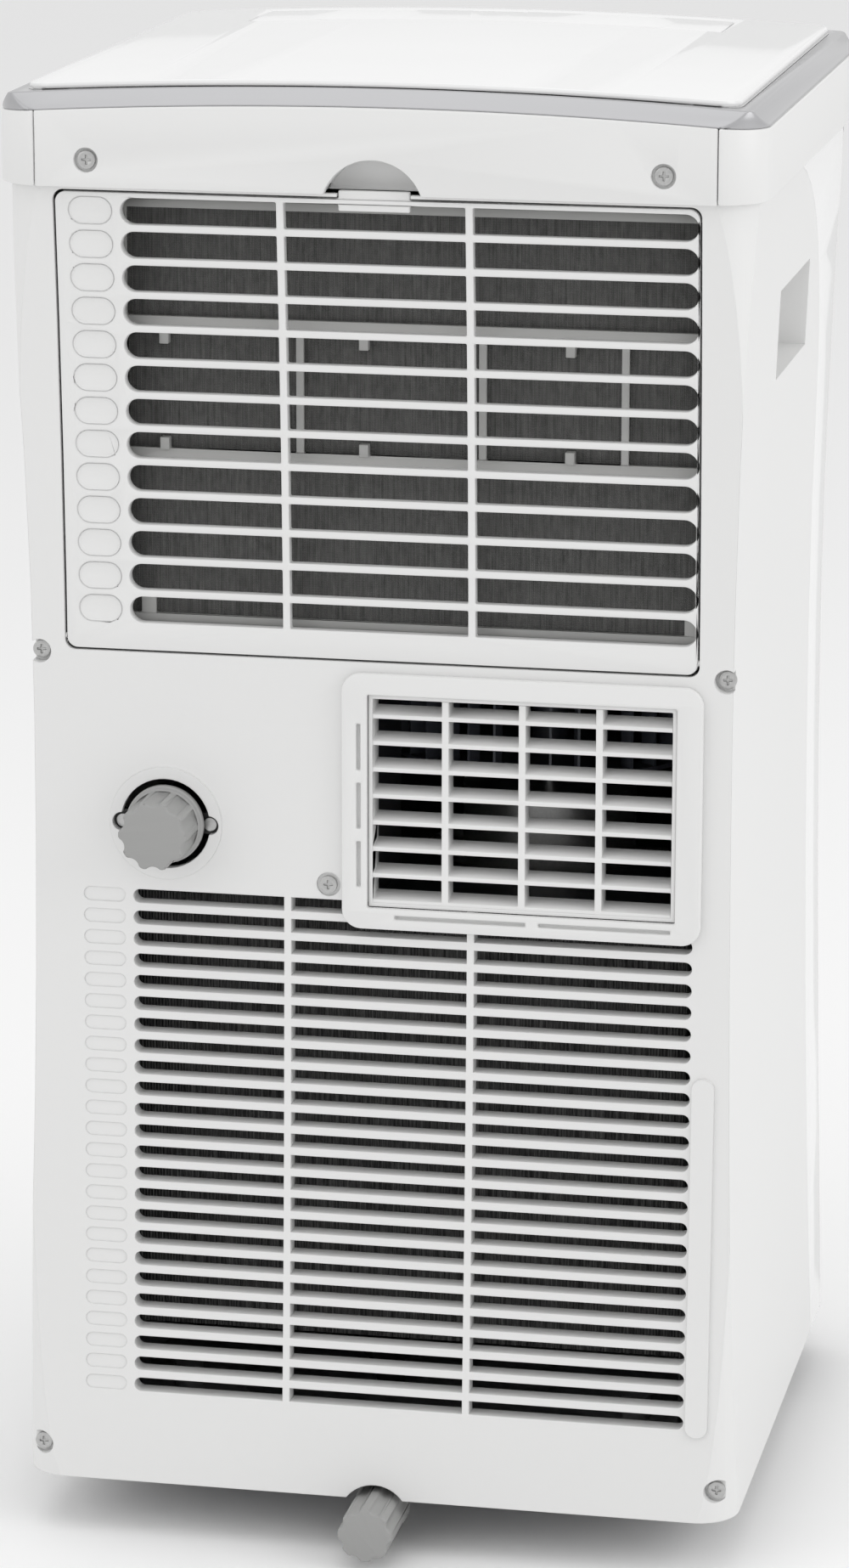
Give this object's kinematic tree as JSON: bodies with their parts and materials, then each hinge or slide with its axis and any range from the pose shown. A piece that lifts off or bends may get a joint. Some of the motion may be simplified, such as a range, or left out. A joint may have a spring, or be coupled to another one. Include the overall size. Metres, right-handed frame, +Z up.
{
  "type": "portable air conditioner",
  "caption": "Free-standing portable air conditioner with rear filter grille, warm air outlet, lower intake louvres, drain caps, top outlet flap and castors.",
  "frame": {"origin": "middle of the bounding box's base, on the floor under the castors", "axes": "+Z up, front with the controls towards -Y, rear with the louvres and drains towards +Y"},
  "size_m": [0.355, 0.363, 0.703],
  "materials": {
    "casing_plastic": "satin moulded ABS",
    "gloss_white": "gloss moulded ABS",
    "silver_rim": "silver lacquer",
    "vane_plastic": "satin",
    "inner_plastic": "moulded",
    "filter_frame": "moulded",
    "filter_mesh": "fine nylon mesh",
    "dark_plastic": "moulded",
    "cap_plastic": "moulded",
    "screw_steel": "zinc plated",
    "rubber": "moulded",
    "coil_fins": "fine fins",
    "compressor_shell": "black enamel",
    "copper": "drawn tube",
    "fan_plastic": "moulded",
    "motor_steel": "pressed",
    "board": "laminate",
    "panel_black": "polished",
    "button_plastic": "satin",
    "castor_grey": "nylon",
    "castor_tyre": "moulded"
  },
  "bodies": {
    "casing": {"base_pan": "inner_plastic", "rear_casing": "casing_plastic", "front_panel": "gloss_white", "top_frame": "casing_plastic", "rear_band": "casing_plastic", "top_rim": "silver_rim", "top_cover": "gloss_white", "outlet_duct": "inner_plastic", "exhaust_bezel": "casing_plastic", "exhaust_grille": "casing_plastic", "upper_spout": "dark_plastic", "spout_screws": "screw_steel", "drain_plug": "rubber", "lower_spout": "dark_plastic", "casing_screws": "screw_steel", "deck": "inner_plastic", "evaporator_coil": "coil_fins", "condenser_coil": "coil_fins", "compressor": "compressor_shell", "compressor_feet": "rubber", "discharge_pipe": "copper", "suction_pipe": "copper", "warm_scroll": "inner_plastic", "warm_motor": "motor_steel", "cool_scroll": "inner_plastic", "cool_motor": "motor_steel", "electronics_box": "inner_plastic", "circuit_board": "board", "capacitor": "motor_steel", "control_panel": "panel_black", "display_lens": "panel_black", "cord_gland": "dark_plastic"},
    "flap": {"louvre_flap": "gloss_white"},
    "vane_bar": {"vane_link": "vane_plastic"},
    "filter": {"filter_grille": "casing_plastic", "filter_frame": "filter_frame", "filter_mesh": "filter_mesh"},
    "upper_drain_cap": {"upper_cap": "cap_plastic"},
    "lower_drain_cap": {"lower_cap": "cap_plastic"},
    "warm_fan": {"warm_wheel": "fan_plastic"},
    "cool_fan": {"cool_wheel": "fan_plastic"},
    "vane_1": {"vane_1": "vane_plastic"},
    "vane_2": {"vane_2": "vane_plastic"},
    "vane_3": {"vane_3": "vane_plastic"},
    "vane_4": {"vane_4": "vane_plastic"},
    "vane_5": {"vane_5": "vane_plastic"},
    "button_1": {"button_1": "button_plastic"},
    "button_2": {"button_2": "button_plastic"},
    "button_3": {"button_3": "button_plastic"},
    "button_4": {"button_4": "button_plastic"},
    "button_5": {"button_5": "button_plastic"},
    "castor_1": {"castor_fork_1": "castor_grey"},
    "wheel_1": {"castor_wheel_1": "castor_tyre"},
    "castor_2": {"castor_fork_2": "castor_grey"},
    "wheel_2": {"castor_wheel_2": "castor_tyre"},
    "castor_3": {"castor_fork_3": "castor_grey"},
    "wheel_3": {"castor_wheel_3": "castor_tyre"},
    "castor_4": {"castor_fork_4": "castor_grey"},
    "wheel_4": {"castor_wheel_4": "castor_tyre"}
  },
  "joints": [
    {"name": "flap_hinge", "type": "hinge", "parent": "casing", "child": "flap", "pos_m": [0, -0.1125, 0.695], "axis": [-1, 0, 0], "range_deg": [0, 50]},
    {"name": "vane_1_swing", "type": "hinge", "parent": "casing", "child": "vane_1", "pos_m": [-0.08, -0.1275, 0.651], "axis": [0, 1, 0], "range_deg": [-25, 25]},
    {"name": "vane_2_swing", "type": "hinge", "parent": "casing", "child": "vane_2", "pos_m": [-0.04, -0.1275, 0.651], "axis": [0, 1, 0], "range_deg": [-25, 25]},
    {"name": "vane_3_swing", "type": "hinge", "parent": "casing", "child": "vane_3", "pos_m": [0, -0.1275, 0.651], "axis": [0, 1, 0], "range_deg": [-25, 25]},
    {"name": "vane_4_swing", "type": "hinge", "parent": "casing", "child": "vane_4", "pos_m": [0.04, -0.1275, 0.651], "axis": [0, 1, 0], "range_deg": [-25, 25]},
    {"name": "vane_5_swing", "type": "hinge", "parent": "casing", "child": "vane_5", "pos_m": [0.08, -0.1275, 0.651], "axis": [0, 1, 0], "range_deg": [-25, 25]},
    {"name": "vane_bar_slide", "type": "slide", "parent": "casing", "child": "vane_bar", "axis": [-1, 0, 0], "range_m": [-0.0047, 0.0047]},
    {"name": "filter_tilt", "type": "hinge", "parent": "casing", "child": "filter", "pos_m": [0, 0.14559, 0.4408], "axis": [-1, 0, 0], "range_deg": [0, 60]},
    {"name": "upper_cap_turn", "type": "hinge", "parent": "casing", "child": "upper_drain_cap", "pos_m": [0.102, 0.15216, 0.353], "axis": [0, 1, 0], "range_deg": [0, 540]},
    {"name": "lower_cap_turn", "type": "hinge", "parent": "casing", "child": "lower_drain_cap", "pos_m": [0, 0.1635, 0.018], "axis": [0, 1, 0], "range_deg": [0, 540]},
    {"name": "warm_fan_spin", "type": "hinge", "parent": "casing", "child": "warm_fan", "pos_m": [-0.057, 0.013, 0.38], "axis": [0, 0, 1], "continuous": true},
    {"name": "cool_fan_spin", "type": "hinge", "parent": "casing", "child": "cool_fan", "pos_m": [-0.02, -0.004, 0.529], "axis": [1, 0, 0], "continuous": true},
    {"name": "button_1_press", "type": "slide", "parent": "casing", "child": "button_1", "axis": [0, 1, 0], "range_m": [0, 0.001], "stiffness_N_per_m": 400},
    {"name": "button_2_press", "type": "slide", "parent": "casing", "child": "button_2", "axis": [0, 1, 0], "range_m": [0, 0.001], "stiffness_N_per_m": 400},
    {"name": "button_3_press", "type": "slide", "parent": "casing", "child": "button_3", "axis": [0, 1, 0], "range_m": [0, 0.001], "stiffness_N_per_m": 400},
    {"name": "button_4_press", "type": "slide", "parent": "casing", "child": "button_4", "axis": [0, 1, 0], "range_m": [0, 0.001], "stiffness_N_per_m": 400},
    {"name": "button_5_press", "type": "slide", "parent": "casing", "child": "button_5", "axis": [0, 1, 0], "range_m": [0, 0.001], "stiffness_N_per_m": 400},
    {"name": "castor_1_swivel", "type": "hinge", "parent": "casing", "child": "castor_1", "pos_m": [-0.112, -0.089, 0.04], "axis": [0, 0, 1], "continuous": true},
    {"name": "wheel_1_roll", "type": "hinge", "parent": "castor_1", "child": "wheel_1", "pos_m": [-0.112, -0.098, 0.018], "axis": [1, 0, 0], "continuous": true},
    {"name": "castor_2_swivel", "type": "hinge", "parent": "casing", "child": "castor_2", "pos_m": [0.112, -0.089, 0.04], "axis": [0, 0, 1], "continuous": true},
    {"name": "wheel_2_roll", "type": "hinge", "parent": "castor_2", "child": "wheel_2", "pos_m": [0.112, -0.098, 0.018], "axis": [1, 0, 0], "continuous": true},
    {"name": "castor_3_swivel", "type": "hinge", "parent": "casing", "child": "castor_3", "pos_m": [-0.112, 0.071, 0.04], "axis": [0, 0, 1], "continuous": true},
    {"name": "wheel_3_roll", "type": "hinge", "parent": "castor_3", "child": "wheel_3", "pos_m": [-0.112, 0.062, 0.018], "axis": [1, 0, 0], "continuous": true},
    {"name": "castor_4_swivel", "type": "hinge", "parent": "casing", "child": "castor_4", "pos_m": [0.112, 0.071, 0.04], "axis": [0, 0, 1], "continuous": true},
    {"name": "wheel_4_roll", "type": "hinge", "parent": "castor_4", "child": "wheel_4", "pos_m": [0.112, 0.062, 0.018], "axis": [1, 0, 0], "continuous": true}
  ],
  "couplings": [
    {"joint": "vane_1_swing", "follows": "vane_bar_slide", "rad_per_m": 90.9},
    {"joint": "vane_2_swing", "follows": "vane_bar_slide", "rad_per_m": 90.9},
    {"joint": "vane_3_swing", "follows": "vane_bar_slide", "rad_per_m": 90.9},
    {"joint": "vane_4_swing", "follows": "vane_bar_slide", "rad_per_m": 90.9},
    {"joint": "vane_5_swing", "follows": "vane_bar_slide", "rad_per_m": 90.9}
  ]
}
